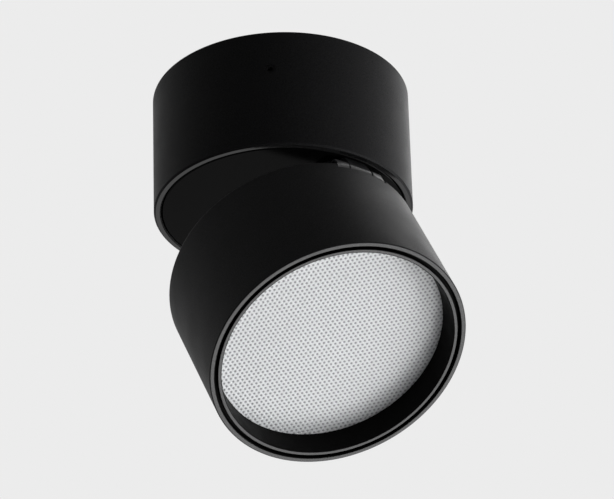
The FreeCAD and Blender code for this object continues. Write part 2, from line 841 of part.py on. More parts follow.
def hinge_bracket():
    """Block on the heat sink's posts, with two ears that reach out through the notch."""
    centre = (pin_y, pin_z)
    inside = rod(head_bore - surface_inset, block_under, cover_top)
    body = block(2 * ear_outer, bracket_block_length + hinge_inset, block_under, cover_top, 0,
                 block_inner_y - (bracket_block_length + hinge_inset) / 2)
    body = body.common(inside)
    gusset = (pin_y + 2 * knuckle_radius, cover_top)
    toe = (pin_y, notch_floor)
    touch = tangent_point(gusset, centre, knuckle_radius, -1)
    plates = [hinge_profile([centre, touch, gusset, toe], -ear_outer, ear_outer),
              cross_rod(knuckle_radius, -ear_outer, ear_outer)]
    limit = rod(body_radius - surface_inset, block_under, pin_z + knuckle_radius)
    body = body.fuse(plates).common(limit)
    sweep = knuckle_radius + knuckle_clearance
    pocket = Part.makeBox(2 * ear_inner, body_radius, 2 * sweep,
                          Vector(-ear_inner, pin_y - body_radius, pin_z - sweep))
    over = Part.makeBox(2 * ear_inner, sweep, sweep + pin_rise,
                        Vector(-ear_inner, pin_y, pin_z))
    cuts = [cross_rod(sweep, -ear_inner, ear_inner), pocket, over,
            cross_rod(pin_radius + seat_gap, -ear_outer, ear_outer),
            cross_rod(pin_head_radius + seat_gap, -ear_outer, -ear_outer + 2 * pin_head_thickness)]
    cuts += [countersunk_hole(cover_top, x, bracket_screw_y, block_under)
             for x in bracket_screw_places()]
    return body.cut(cuts).removeSplitter()


def hinge_bracket_screws():
    return Part.makeCompound([countersunk_screw(cover_top, x, bracket_screw_y, bracket_screw_length)
                              for x in bracket_screw_places()])


def hinge_pin():
    head_inner = -ear_outer + 2 * pin_head_thickness
    shaft = cross_rod(pin_radius, head_inner, ear_outer - pin_head_thickness)
    head = cross_rod(pin_head_radius, head_inner - pin_head_thickness, head_inner)
    return shaft.fuse(head).removeSplitter()


def hinge_washers():
    washers = []
    for side in (-1, 1):
        start = side * (knuckle_width / 2 + sliding_gap)
        end = start + side * friction_washer_thickness
        low, high = min(start, end), max(start, end)
        disc = cross_rod(friction_washer_radius, low, high)
        washers.append(disc.cut(cross_rod(pin_radius + seat_gap, low, high)))
    return Part.makeCompound(washers)


base_parts = (
    mounting_bracket, cable_grommet, base_housing, side_fixing_screws, swivel_bush, driver_tray,
    driver_cover, driver_board, driver_transformer, driver_capacitors, driver_choke, driver_screws,
    terminal_block, terminal_screws, earth_screw)
swivel_parts = (
    swivel_disc, swivel_tube, swivel_glide_washer, swivel_washer, swivel_spring_washer, swivel_nut,
    swivel_stop_pin, tube_grommet, hinge_arm, hinge_arm_screws)
head_parts = (
    head_housing, anti_glare_ring, diffuser, reflector, led_board, led_chips, board_screws,
    board_connector, thermal_pad, heat_sink, heat_sink_screws, rear_cover, rear_cover_screws,
    lead_grommet, hinge_bracket, hinge_bracket_screws, hinge_pin, hinge_washers)

os.makedirs("parts", exist_ok=True)
for make in base_parts:
    save_base(make.__name__, make())
for make in swivel_parts:
    save(make.__name__, make())
for make in head_parts:
    save_head(make.__name__, make())
print("hinge pin at y", round(pin_y, 3), "z", round(pin_z, 3))
print("head folded shut from z", round(head_back, 3), "to", round(head_face, 3))
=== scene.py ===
import json
import math
import bmesh
import bpy
from mathutils import Matrix, Vector


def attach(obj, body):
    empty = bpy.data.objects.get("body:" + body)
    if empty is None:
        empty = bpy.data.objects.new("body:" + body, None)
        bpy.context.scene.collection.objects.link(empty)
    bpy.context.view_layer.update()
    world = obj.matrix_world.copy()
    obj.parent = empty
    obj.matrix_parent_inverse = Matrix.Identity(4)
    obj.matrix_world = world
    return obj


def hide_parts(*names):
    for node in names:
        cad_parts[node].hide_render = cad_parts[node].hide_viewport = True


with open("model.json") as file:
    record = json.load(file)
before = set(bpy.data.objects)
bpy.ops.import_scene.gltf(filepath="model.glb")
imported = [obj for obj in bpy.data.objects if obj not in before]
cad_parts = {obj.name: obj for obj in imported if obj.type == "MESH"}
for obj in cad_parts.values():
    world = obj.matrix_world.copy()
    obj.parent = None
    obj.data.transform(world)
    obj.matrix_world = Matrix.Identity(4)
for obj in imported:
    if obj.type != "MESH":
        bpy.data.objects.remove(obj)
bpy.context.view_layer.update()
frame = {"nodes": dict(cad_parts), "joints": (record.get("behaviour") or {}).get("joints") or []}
cadNodes = frame["nodes"]
mm = 0.001  # piece sizes below are in millimetres

# the head is shaped folded shut, straight under the base, then swung open about the hinge pin
tiltJoint = [j for j in frame["joints"] if j["name"] == "tilt"][0]
hingePin = Vector(tiltJoint["pos_m"])
restTilt = -math.radians(tiltJoint["range_deg"][0])
openSwing = Matrix.Rotation(restTilt, 4, Vector(tiltJoint["axis"]))
openHead = Matrix.Translation(hingePin) @ openSwing @ Matrix.Translation(-hingePin)

# distances in millimetres that the shaping below shares
past = 1.0  # how far a cutter reaches past the face that it opens
rooted = 0.5  # how far an added boss starts inside its floor
sameLevel = 0.01  # two heights this close are one flat face
straight = 0.99  # cosine above which two directions count as one


# shaping helpers

def placeMesh(name, bm):
    bmesh.ops.remove_doubles(bm, verts=bm.verts, dist=1e-7)
    bmesh.ops.recalc_face_normals(bm, faces=bm.faces)
    mesh = bpy.data.meshes.new(name)
    bm.to_mesh(mesh)
    bm.free()
    piece = bpy.data.objects.new(name, mesh)
    bpy.context.scene.collection.objects.link(piece)
    return piece


def spunShape(corners, steps=192, closed=True):
    # corners are (radius, height, rounding), joined in order and spun about the lamp's axis
    bm = bmesh.new()
    verts = [bm.verts.new((r * mm, 0, z * mm)) for r, z, soft in corners]
    for start, end in zip(verts, verts[1:] + (verts[:1] if closed else [])):
        bm.edges.new((start, end))
    for soft in sorted({c[2] for c in corners if c[2]}):
        rounded = [v for v, c in zip(verts, corners) if c[2] == soft]
        bmesh.ops.bevel(bm, geom=rounded, offset=soft * mm, segments=3, profile=0.5,
                        affect="VERTICES", material=-1)
    bmesh.ops.spin(bm, geom=bm.verts[:] + bm.edges[:], axis=(0, 0, 1), cent=(0, 0, 0),
                   angle=2 * math.pi, steps=steps, use_merge=True)
    bmesh.ops.remove_doubles(bm, verts=bm.verts, dist=1e-7)
    return bm


def barShape(radius, start, end, steps=32):
    # round bar between two points, in millimetres
    line = Vector(end) - Vector(start)
    middle = (Vector(end) + Vector(start)) / 2 * mm
    turn = Vector((0, 0, 1)).rotation_difference(line).to_matrix().to_4x4()
    bm = bmesh.new()
    bmesh.ops.create_cone(bm, cap_ends=True, segments=steps, radius1=radius * mm, radius2=radius * mm,
                          depth=line.length * mm, matrix=Matrix.Translation(middle) @ turn)
    return bm


def boxShape(low, high):
    bm = bmesh.new()
    size = [(b - a) * mm for a, b in zip(low, high)]
    middle = [(b + a) / 2 * mm for a, b in zip(low, high)]
    stretch = Matrix.Diagonal((*size, 1))
    bmesh.ops.create_cube(bm, size=1, matrix=Matrix.Translation(middle) @ stretch)
    return bm


def addShape(bm, other):
    spare = bpy.data.meshes.new("spare")
    other.to_mesh(spare)
    other.free()
    bm.from_mesh(spare)
    bpy.data.meshes.remove(spare)


def bakeModifiers(piece):
    shaped = bpy.data.meshes.new_from_object(piece.evaluated_get(bpy.context.evaluated_depsgraph_get()))
    piece.modifiers.clear()
    old, piece.data = piece.data, shaped
    bpy.data.meshes.remove(old)
    shaped.name = piece.name


def smoothShade(piece, sharpness=32):
    # wide flat faces keep their own direction, so only the narrow softened strips are shaded round
    piece.data.shade_smooth()
    piece.data.set_sharp_from_angle(angle=math.radians(sharpness))
    weighted = piece.modifiers.new("weighted", "WEIGHTED_NORMAL")
    weighted.keep_sharp = True
    bakeModifiers(piece)


def combine(piece, shapes, operation="DIFFERENCE"):
    tools = []
    for bm in shapes:
        tool = placeMesh("tool", bm)
        modifier = piece.modifiers.new("combine", "BOOLEAN")
        modifier.operation = operation
        modifier.solver = "EXACT"
        modifier.object = tool
        tools.append(tool)
    bakeModifiers(piece)
    for tool in tools:
        bpy.data.meshes.remove(tool.data)


def softenEdges(piece, width, where=lambda point: True, sharpness=40, segments=2):
    bm = bmesh.new()
    bm.from_mesh(piece.data)
    bmesh.ops.remove_doubles(bm, verts=bm.verts, dist=2e-6)
    edges = [e for e in bm.edges if len(e.link_faces) == 2
             and e.calc_face_angle(0) > math.radians(sharpness)
             and where((e.verts[0].co + e.verts[1].co) / 2 / mm)]
    bmesh.ops.bevel(bm, geom=edges, offset=width * mm, segments=segments, profile=0.5,
                    affect="EDGES", clamp_overlap=True, material=-1)
    bm.to_mesh(piece.data)
    bm.free()


def keepRound(piece, radius, margin=0.3):
    # where a round wall is drilled or notched, it is shaded as the plain wall is
    mesh = piece.data
    normals = [corner.vector.copy() for corner in mesh.corner_normals]
    for face in mesh.polygons:
        outward = face.center.xy.normalized()
        onWall = abs(face.center.xy.length / mm - radius) < margin
        if onWall and face.normal.xy.dot(outward) > straight:
            for corner in face.loop_indices:
                spot = mesh.vertices[mesh.loops[corner].vertex_index].co
                normals[corner] = Vector((spot.x, spot.y, 0)).normalized()
    mesh.normals_split_custom_set(normals)


def paintFaces(piece, material, where):
    # a second finish on the faces whose middle (in millimetres) and normal pass the test
    piece.data.materials.append(material)
    for face in piece.data.polygons:
        if where(face.center / mm, face.normal):
            face.material_index = len(piece.data.materials) - 1


def facesDown(level):
    # picks the flat face that looks down at this height
    return lambda p, n: p.z < level + sameLevel and n.z < -straight


def finishPiece(piece, body, node, material, swing=Matrix()):
    smoothShade(piece)
    piece.data.transform(swing)
    piece.data.materials.clear()
    piece.data.materials.append(material)
    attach(piece, body)
    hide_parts(node)


def softCopy(name, node, width, body, material, cuts=(), swing=Matrix()):
    # a CAD piece whose sharp edges are broken, as a cast or pressed part's are
    bm = bmesh.new()
    bm.from_mesh(cadNodes[node].data)
    bmesh.ops.remove_doubles(bm, verts=bm.verts, dist=2e-6)
    bmesh.ops.dissolve_limit(bm, angle_limit=math.radians(0.5), verts=bm.verts, edges=bm.edges)
    bmesh.ops.transform(bm, matrix=swing.inverted(), verts=bm.verts)
    piece = placeMesh(name, bm)
    if cuts:
        combine(piece, cuts)
    softenEdges(piece, width)
    finishPiece(piece, body, node, material, swing)


# finishes

def newFinish(name, color, roughness, metallic=0.0, specular=0.5, clearCoat=0.0):
    material = bpy.data.materials.new(name)
    material.use_nodes = True
    shader = material.node_tree.nodes["Principled BSDF"]
    shader.inputs["Base Color"].default_value = (*color, 1)
    shader.inputs["Roughness"].default_value = roughness
    shader.inputs["Metallic"].default_value = metallic
    shader.inputs["Specular IOR Level"].default_value = specular
    shader.inputs["Coat Weight"].default_value = clearCoat
    return material, material.node_tree, shader


def addNode(tree, kind, inputs=None, **settings):
    node = tree.nodes.new(kind)
    for key, value in settings.items():
        setattr(node, key, value)
    for key, value in (inputs or {}).items():
        if isinstance(value, bpy.types.NodeSocket):
            tree.links.new(value, node.inputs[key])
        else:
            node.inputs[key].default_value = value
    return node


def objectPoint(tree, stretch=(1, 1, 1)):
    point = addNode(tree, "ShaderNodeTexCoord").outputs["Object"]
    return addNode(tree, "ShaderNodeMapping", {"Vector": point, "Scale": stretch}).outputs["Vector"]


def grainOf(tree, point, size, detail=3.0, rough=0.55):
    # noise whose lumps are about `size` millimetres across
    return addNode(tree, "ShaderNodeTexNoise", {"Vector": point, "Scale": 1 / (size * mm),
                                                "Detail": detail, "Roughness": rough}).outputs["Fac"]


def spread(tree, value, low, high, start=0.35, end=0.65):
    return addNode(tree, "ShaderNodeMapRange", {"Value": value, "From Min": start, "From Max": end,
                                                "To Min": low, "To Max": high}).outputs["Result"]


def twoTone(tree, factor, first, second):
    # sockets 6, 7 and result 2 are the Mix node's colours
    mix = addNode(tree, "ShaderNodeMix", {0: factor, 6: (*first, 1), 7: (*second, 1)}, data_type="RGBA")
    return mix.outputs[2]


def relief(tree, shader, height, depth):
    bump = addNode(tree, "ShaderNodeBump", {"Height": height, "Distance": depth * mm, "Strength": 1.0})
    tree.links.new(bump.outputs["Normal"], shader.inputs["Normal"])


blackCoat = {
    "deep": (0.0120, 0.0120, 0.0127),  # matte powder coat
    "worn": (0.0290, 0.0290, 0.0300),
    "grain": 0.34,
    "cloud": 14.0,
    "roughness": (0.45, 0.50),
    "relief": 0.030,
    "specular": 0.03,
}


def coatFinish(name="blackPowderCoat", look=blackCoat):
    material, tree, shader = newFinish(name, look["deep"], 0.5, specular=look["specular"])
    point = objectPoint(tree)
    speck = grainOf(tree, point, look["grain"], 4.0, 0.7)
    cloud = grainOf(tree, point, look["cloud"], 3.0)
    tree.links.new(twoTone(tree, spread(tree, speck, 0, 1), look["deep"], look["worn"]),
                   shader.inputs["Base Color"])
    tree.links.new(spread(tree, cloud, *look["roughness"]), shader.inputs["Roughness"])
    relief(tree, shader, speck, look["relief"])
    return material


blackCasting = {"deep": (0.006, 0.006, 0.0065), "worn": (0.018, 0.018, 0.019), "grain": 0.5,
                "cloud": 4.0, "roughness": (0.28, 0.40), "relief": 0.04, "specular": 0.5}
# near-black, darker than the coat: painted shade for the baffle, the bore and the groove's rounded edges
paintedShadeLook = {"deep": (0.0015, 0.0015, 0.0016), "worn": (0.0040, 0.0039, 0.0038), "grain": 0.3,
             "cloud": 6.0, "roughness": (0.45, 0.55), "relief": 0.03, "specular": 0.03}
machinedEdge = {"deep": (0.015, 0.015, 0.0155), "worn": (0.050, 0.050, 0.051), "grain": 0.3,
                "cloud": 9.0, "roughness": (0.22, 0.32), "relief": 0.03, "specular": 0.4}
machinedLip = {"deep": (0.002, 0.002, 0.0021), "worn": (0.006, 0.006, 0.0062), "grain": 0.3,
               "cloud": 9.0, "roughness": (0.05, 0.08), "relief": 0.004, "specular": 0.4}
glossDisc = {"deep": (0.001, 0.001, 0.0011), "worn": (0.003, 0.003, 0.0031), "grain": 0.34,
             "cloud": 14.0, "roughness": (0.05, 0.08), "relief": 0.003, "specular": 0.022}


def metalFinish(name, color, roughness, grain, streak=(1, 1, 1), depth=0.004, tint=0.82):
    material, tree, shader = newFinish(name, color, roughness, metallic=1.0)
    point = objectPoint(tree, streak)
    lines = grainOf(tree, point, grain, 4.0, 0.6)
    cloud = grainOf(tree, objectPoint(tree), grain * 9, 2.0)
    dull = tuple(c * tint for c in color)
    tree.links.new(twoTone(tree, spread(tree, cloud, 0, 1), dull, color), shader.inputs["Base Color"])
    tree.links.new(spread(tree, lines, roughness * 0.75, roughness * 1.3), shader.inputs["Roughness"])
    relief(tree, shader, lines, depth)
    return material


def zincFinish(name="zincPlate"):
    # pressed steel with the faint crystal pattern of its plating
    material, tree, shader = newFinish(name, (0.56, 0.57, 0.58), 0.38, metallic=1.0)
    point = objectPoint(tree)
    crystal = addNode(tree, "ShaderNodeTexVoronoi", {"Vector": point, "Scale": 1 / (3.2 * mm),
                                                     "Randomness": 0.9})
    shade = addNode(tree, "ShaderNodeSeparateColor", {"Color": crystal.outputs["Color"]}).outputs[0]
    tree.links.new(twoTone(tree, shade, (0.43, 0.44, 0.46), (0.60, 0.61, 0.62)),
                   shader.inputs["Base Color"])
    tree.links.new(spread(tree, shade, 0.30, 0.46, 0, 1), shader.inputs["Roughness"])
    relief(tree, shader, grainOf(tree, point, 0.5), 0.004)
    return material


def mouldedFinish(name, color, roughness, grain=0.4, depth=0.01, soil=0.9, specular=0.45):
    material, tree, shader = newFinish(name, color, roughness, specular=specular)
    point = objectPoint(tree)
    speck = grainOf(tree, point, grain, 4.0)
    cloud = grainOf(tree, point, grain * 22, 3.0)
    dim = tuple(c * soil for c in color)
    tree.links.new(twoTone(tree, spread(tree, cloud, 0, 1), dim, color), shader.inputs["Base Color"])
    tree.links.new(spread(tree, speck, roughness * 0.85, min(1, roughness * 1.15)),
                   shader.inputs["Roughness"])
    relief(tree, shader, speck, depth)
    return material


def ribbedFinish(name, dark, light, pitch, direction, roughness, metallic, depth):
    # windings, tape and sleeves: bands across one direction
    material, tree, shader = newFinish(name, light, roughness, metallic=metallic)
    bandScale = math.pi / 10 / (pitch * mm)  # the wave texture repeats every pi / 10 at a scale of 1
    bands = addNode(tree, "ShaderNodeTexWave", {"Vector": objectPoint(tree), "Scale": bandScale,
                                                "Distortion": 0.4, "Detail": 2.0},
                    wave_type="BANDS", bands_direction=direction).outputs["Fac"]
    tree.links.new(twoTone(tree, bands, dark, light), shader.inputs["Base Color"])
    tree.links.new(spread(tree, bands, roughness * 0.8, roughness * 1.25, 0, 1),
                   shader.inputs["Roughness"])
    relief(tree, shader, bands, depth)
    return material


def boardFinish(name="circuitBoard"):
    # green solder mask over copper tracks
    material, tree, shader = newFinish(name, (0.01, 0.10, 0.035), 0.32, clearCoat=0.3)
    point = objectPoint(tree)
    tracks = addNode(tree, "ShaderNodeTexBrick", {"Vector": point, "Scale": 1 / (9 * mm),
                                                  "Mortar Size": 0.035, "Brick Width": 0.9,
                                                  "Row Height": 0.34})
    tree.links.new(twoTone(tree, tracks.outputs["Fac"], (0.008, 0.085, 0.03), (0.03, 0.20, 0.07)),
                   shader.inputs["Base Color"])
    tree.links.new(spread(tree, grainOf(tree, point, 1.2), 0.25, 0.4), shader.inputs["Roughness"])
    relief(tree, shader, tracks.outputs["Fac"], 0.03)
    return material


def phosphorFinish(name="ledPhosphor"):
    material, tree, shader = newFinish(name, (0.80, 0.62, 0.12), 0.35)
    point = objectPoint(tree)
    cells = addNode(tree, "ShaderNodeTexVoronoi", {"Vector": point, "Scale": 1 / (0.5 * mm)})
    tree.links.new(twoTone(tree, cells.outputs["Distance"], (0.85, 0.70, 0.20), (0.72, 0.50, 0.07)),
                   shader.inputs["Base Color"])
    tree.links.new(spread(tree, grainOf(tree, point, 0.3), 0.28, 0.45), shader.inputs["Roughness"])
    relief(tree, shader, cells.outputs["Distance"], 0.02)
    return material


diffuserSheet = {
    "pane": (0.74, 0.75, 0.765),
    # grey of the dots' floors: painted shade in the pits
    "paintedPitShade": (0.34, 0.345, 0.36),
    "roughness": (0.16, 0.30),
    "radius": 47.4, "thickness": 2.0, "front": -102.1, "rimStart": 46.8, "edge": 0.1,
    "pitch": 1.78, "patternTurn": 26.7, "patternRadius": 45.3,
    "pitRings": ((0.62, 0.0, 0.0), (0.46, 0.11, 0.55), (0.26, 0.20, 1.0)),  # radius, depth, tint; the tint is painted shade, darkest on the pit floor
}


def diffuserFinish(name="dottedDiffuser", sheet=diffuserSheet):
    # opal acrylic; an attribute darkens the moulded dots towards their floors, which is painted shade in the
    # pits
    material, tree, shader = newFinish(name, sheet["pane"], 0.25, specular=0.5)
    point = objectPoint(tree)
    paintedPitShade = addNode(tree, "ShaderNodeAttribute", attribute_name="paintedPitShade").outputs["Fac"]
    tree.links.new(twoTone(tree, paintedPitShade, sheet["pane"], sheet["paintedPitShade"]), shader.inputs["Base Color"])
    tree.links.new(spread(tree, grainOf(tree, point, 1.1), *sheet["roughness"]),
                   shader.inputs["Roughness"])
    relief(tree, shader, grainOf(tree, point, 0.8), 0.02)
    return material


coat = coatFinish()
casting = coatFinish("blackCasting", blackCasting)
# painted shade: the near-black finish for the baffle, the bore and the groove's rounded edges
paintedShade = coatFinish("paintedShadeBaffle", paintedShadeLook)
edge = coatFinish("machinedEdge", machinedEdge)
lip = coatFinish("machinedLip", machinedLip)
gloss = coatFinish("glossDisc", glossDisc)
zinc = zincFinish()
steel = metalFinish("platedSteel", (0.60, 0.60, 0.61), 0.32, 0.35, depth=0.003)
blackSteel = metalFinish("blackOxide", (0.035, 0.035, 0.038), 0.38, 0.4, depth=0.006, tint=0.6)
brass = metalFinish("nickelBrass", (0.62, 0.47, 0.22), 0.3, 0.4, depth=0.003)
castAluminium = metalFinish("millAluminium", (0.72, 0.73, 0.74), 0.34, 0.3, (1, 1, 6), 0.006)
rubber = mouldedFinish("blackRubber", (0.018, 0.018, 0.019), 0.7, 0.5, 0.03, 0.7, 0.3)
nylon = mouldedFinish("naturalNylon", (0.72, 0.69, 0.60), 0.45, 0.6)
blackNylon = mouldedFinish("blackNylon", (0.004, 0.004, 0.0045), 0.5, 0.5, 0.01, 0.8, 0.1)
driverPlastic = mouldedFinish("driverPlastic", (0.74, 0.74, 0.71), 0.5, 0.35, 0.02)
terminalPlastic = mouldedFinish("terminalPlastic", (0.80, 0.79, 0.75), 0.4, 0.5)
reflectorWhite = mouldedFinish("reflectorWhite", (0.86, 0.86, 0.85), 0.4, 0.8, 0.006, 0.97)
boardWhite = mouldedFinish("whiteSolderMask", (0.82, 0.82, 0.80), 0.35, 1.0, 0.01, 0.94)
thermalGrey = mouldedFinish("thermalPad", (0.32, 0.34, 0.38), 0.8, 0.3, 0.03, 0.85, 0.2)
copper = ribbedFinish("enamelledCopper", (0.30, 0.10, 0.03), (0.72, 0.33, 0.12), 0.45, "Z", 0.28, 0.9,
                      0.12)
tape = ribbedFinish("polyesterTape", (0.52, 0.36, 0.03), (0.72, 0.53, 0.06), 2.2, "Z", 0.35, 0.0, 0.04)
sleeve = ribbedFinish("capacitorSleeve", (0.006, 0.008, 0.03), (0.02, 0.025, 0.07), 3.0, "Y", 0.3, 0.0,
                      0.02)
circuitBoard = boardFinish()
phosphor = phosphorFinish()
diffuserPane = diffuserFinish()
print("finishes mixed")

# pieces that keep the solids' own shape
plainFinishes = {
    steel: ("swivel_washer", "swivel_spring_washer"),
    coat: ("side_fixing_screws",),
    nylon: ("swivel_bush", "swivel_glide_washer"),
    circuitBoard: ("driver_board",),
    copper: ("driver_choke",),
    terminalPlastic: ("board_connector",),
    boardWhite: ("led_board",),
    phosphor: ("led_chips",),
    thermalGrey: ("thermal_pad",),
    blackNylon: ("hinge_washers",),
}
for material, nodes in plainFinishes.items():
    for node in nodes:
        cadNodes[node].data.materials.clear()
        cadNodes[node].data.materials.append(material)


# ceiling base

baseCan = {
    "radius": 50.0, "wall": 2.0, "top": -0.5, "bottom": -50.8,
    "lipRadius": 47.2, "webUnder": -47.35, "webTop": -44.35, "hubHole": 9.8,
    "outerChamfer": 0.6, "innerChamfer": 0.4, "edge": 0.12, "topEdge": 0.3, "floorRound": 0.5,
    "turn": 49.0, "sideHoleRadius": 2.02, "sideHoleLevel": -17.0,
    "postCircle": 37.25, "postRadius": 3.5, "postTop": -33.9, "screwHole": 1.52, "screwDepth": 7.0,
    "earthY": 33.0, "earthRadius": 4.0, "earthHeight": 3.0,
    "grooveRadius": 24.0, "grooveWidth": 2.4, "grooveDepth": 1.8,
}
baseTurn = Matrix.Rotation(math.radians(baseCan["turn"]), 4, "Z")


def makeBaseCan(can=baseCan):
    inner = can["radius"] - can["wall"]
    soft = can["edge"]
    bm = spunShape([
        (inner, can["top"], soft), (inner, can["webTop"], can["floorRound"]),
        (can["hubHole"], can["webTop"], soft), (can["hubHole"], can["webUnder"], soft),
        (can["lipRadius"], can["webUnder"], 0),
        (can["lipRadius"], can["bottom"] + can["innerChamfer"], soft),
        (can["lipRadius"] + can["innerChamfer"], can["bottom"], soft),
        (can["radius"] - can["outerChamfer"], can["bottom"], soft),
        (can["radius"], can["bottom"] + can["outerChamfer"], soft),
        (can["radius"], can["top"], can["topEdge"])], 256)
    piece = placeMesh("base_can", bm)
    postFoot = can["webTop"] - rooted
    postSides = (-can["postCircle"], can["postCircle"])
    posts = [barShape(can["postRadius"], (x, 0, postFoot), (x, 0, can["postTop"]), 48) for x in postSides]
    earthTop = can["webTop"] + can["earthHeight"]
    posts.append(barShape(can["earthRadius"], (0, can["earthY"], postFoot), (0, can["earthY"], earthTop), 48))
    combine(piece, posts, "UNION")
    holes = [barShape(can["screwHole"], (x, 0, can["postTop"] - can["screwDepth"]),
                      (x, 0, can["postTop"] + past)) for x in postSides]
    holes.append(barShape(can["screwHole"], (0, can["earthY"], can["webTop"]),
                          (0, can["earthY"], earthTop + past)))
    for side in (-1, 1):
        holes.append(barShape(can["sideHoleRadius"], (side * (inner - past), 0, can["sideHoleLevel"]),
                              (side * (can["radius"] + past), 0, can["sideHoleLevel"]), 48))
    grooveInner = can["grooveRadius"] - can["grooveWidth"] / 2
    grooveOuter = can["grooveRadius"] + can["grooveWidth"] / 2
    grooveTop = can["webUnder"] + can["grooveDepth"]
    grooveMouth = can["webUnder"] - past
    holes.append(spunShape([(grooveInner, grooveMouth, 0), (grooveOuter, grooveMouth, 0),
                            (grooveOuter, grooveTop, 0), (grooveInner, grooveTop, 0)], 96))
    combine(piece, holes)
    finishPiece(piece, "base", "base_housing", coat)
    keepRound(piece, can["radius"])
    paintFaces(piece, lip, facesDown(can["bottom"]))
    piece.data.transform(baseTurn)


makeBaseCan()
softCopy("mounting_plate", "mounting_bracket", 0.18, "base", zinc)
softCopy("cable_sleeve", "cable_grommet", 0.45, "base", rubber)
softCopy("driver_lower_shell", "driver_tray", 0.35, "base", driverPlastic)
softCopy("driver_upper_shell", "driver_cover", 0.5, "base", driverPlastic)
softCopy("capacitors", "driver_capacitors", 0.6, "base", sleeve)
softCopy("transformer", "driver_transformer", 0.5, "base", tape)
softCopy("terminals", "terminal_block", 0.3, "base", terminalPlastic)
print("base made")


# swivel disc and hinge arm

softCopy("underside_disc", "swivel_disc", 0.12, "swivel", gloss)
softCopy("middle_knuckle", "hinge_arm", 0.15, "swivel", casting)
softCopy("tube_sleeve", "tube_grommet", 0.35, "swivel", rubber)
softCopy("lock_nut", "swivel_nut", 0.3, "swivel", steel)
softCopy("stop_pin", "swivel_stop_pin", 0.2, "swivel", steel)
softCopy("hollow_tube", "swivel_tube", 0.2, "swivel", steel)
print("swivel made")


# light head

headCan = {
    "radius": 50.0, "bore": 48.0, "back": -58.3, "face": -112.3,
    "backRound": 1.0, "faceChamfer": 0.3, "chamferEdge": 0.08, "edge": 0.1, "mouthRound": 0.35,
    "ledgeRadius": 42.0, "ledgeFront": -82.3, "ledgeBack": -79.3, "ledgeRound": 0.3,
    "notchHalf": 11.5, "notchFloor": -60.8, "notchEdge": 0.25, "notchRoom": 5.0,
    "screwCircle": 45.0, "screwHole": 1.52,
}


def aroundAxis(radius, count, start):
    angles = [math.radians(start + 360 * k / count) for k in range(count)]
    return [(radius * math.cos(a), radius * math.sin(a)) for a in angles]


screwDrives = {
    "cross": ((2.5, 0.58), (0.58, 2.5)),  # two crossed bars pressed into the head
    "slot": ((4.0, 0.6),),
}


def makeScrews(name, group, drives=screwDrives):
    cuts = []
    for x, y in group["places"]:
        for sizeX, sizeY in drives[group["drive"]]:
            cuts.append(boxShape((x - sizeX / 2, y - sizeY / 2, group["face"] - group["deep"]),
                                 (x + sizeX / 2, y + sizeY / 2, group["face"] + group["deep"])))
    softCopy(name, group["node"], group["edge"], group["body"], group["finish"],
             cuts, group["swing"])


def makeHeadCan(can=headCan):
    soft = can["edge"]
    chamfer = can["faceChamfer"]
    bm = spunShape([
        (can["bore"], can["back"], soft), (can["bore"], can["ledgeBack"], can["ledgeRound"]),
        (can["ledgeRadius"], can["ledgeBack"], soft), (can["ledgeRadius"], can["ledgeFront"], soft),
        (can["bore"], can["ledgeFront"], can["ledgeRound"]),
        (can["bore"], can["face"], can["mouthRound"]),
        (can["radius"] - chamfer, can["face"], can["chamferEdge"]),
        (can["radius"], can["face"] + chamfer, can["chamferEdge"]),
        (can["radius"], can["back"], can["backRound"])], 256)
    piece = placeMesh("head_can", bm)
    half, bed, room = can["notchHalf"], can["notchFloor"], can["notchRoom"]
    cuts = [boxShape((-half, -can["radius"] - room, bed), (half, -can["bore"] + room, can["back"] + room))]
    for x, y in aroundAxis(can["screwCircle"], 3, 90):
        cuts.append(barShape(can["screwHole"], (x, y, can["ledgeFront"] - past),
                             (x, y, can["ledgeBack"] + past)))
    combine(piece, cuts)
    margin = 0.1  # only edges within the notch's outline and this margin are softened
    softenEdges(piece, can["notchEdge"], lambda p: p.y < -can["ledgeRadius"]
                and abs(p.x) < half + margin and p.z > bed - margin)
    finishPiece(piece, "head", "head_housing", coat)
    keepRound(piece, can["radius"])
    boreReach = can["bore"] + can["mouthRound"]
    # the bore and its rounded mouth corner get the near-black: painted shade that widens the dark groove at
    # the mouth
    paintFaces(piece, paintedShade, lambda p, n: p.z < can["ledgeFront"] and p.xy.length < boreReach)
    paintFaces(piece, edge, facesDown(can["face"]))
    piece.data.transform(openHead)


glareRing = {
    "outer": 46.8, "mouth": 45.3, "face": -112.2, "flangeRadius": 47.9, "flangeFront": -110.1,
    "flangeBack": -107.3, "skirt": 46.7, "back": -102.1, "taper": 0.95,
    "mouthRound": 0.3, "outerRound": 0.2, "edge": 0.1,
}


def makeGlareRing(ring=glareRing):
    soft = ring["edge"]
    bm = spunShape([
        (ring["mouth"], ring["face"], ring["mouthRound"]), (ring["outer"], ring["face"], ring["outerRound"]),
        (ring["outer"], ring["flangeFront"], 0), (ring["flangeRadius"], ring["flangeFront"], soft),
        (ring["flangeRadius"], ring["flangeBack"], soft), (ring["skirt"], ring["flangeBack"], soft),
        (ring["skirt"], ring["back"], soft), (ring["mouth"] - ring["taper"], ring["back"], soft)], 256)
    piece = placeMesh("glare_ring", bm)
    # the ring gets the near-black: painted shade in the baffle and on the groove's rounded edge; its flat
    # front face gets the edge finish
    finishPiece(piece, "head", "anti_glare_ring", paintedShade)
    paintFaces(piece, edge, facesDown(ring["face"]))
    piece.data.transform(openHead)


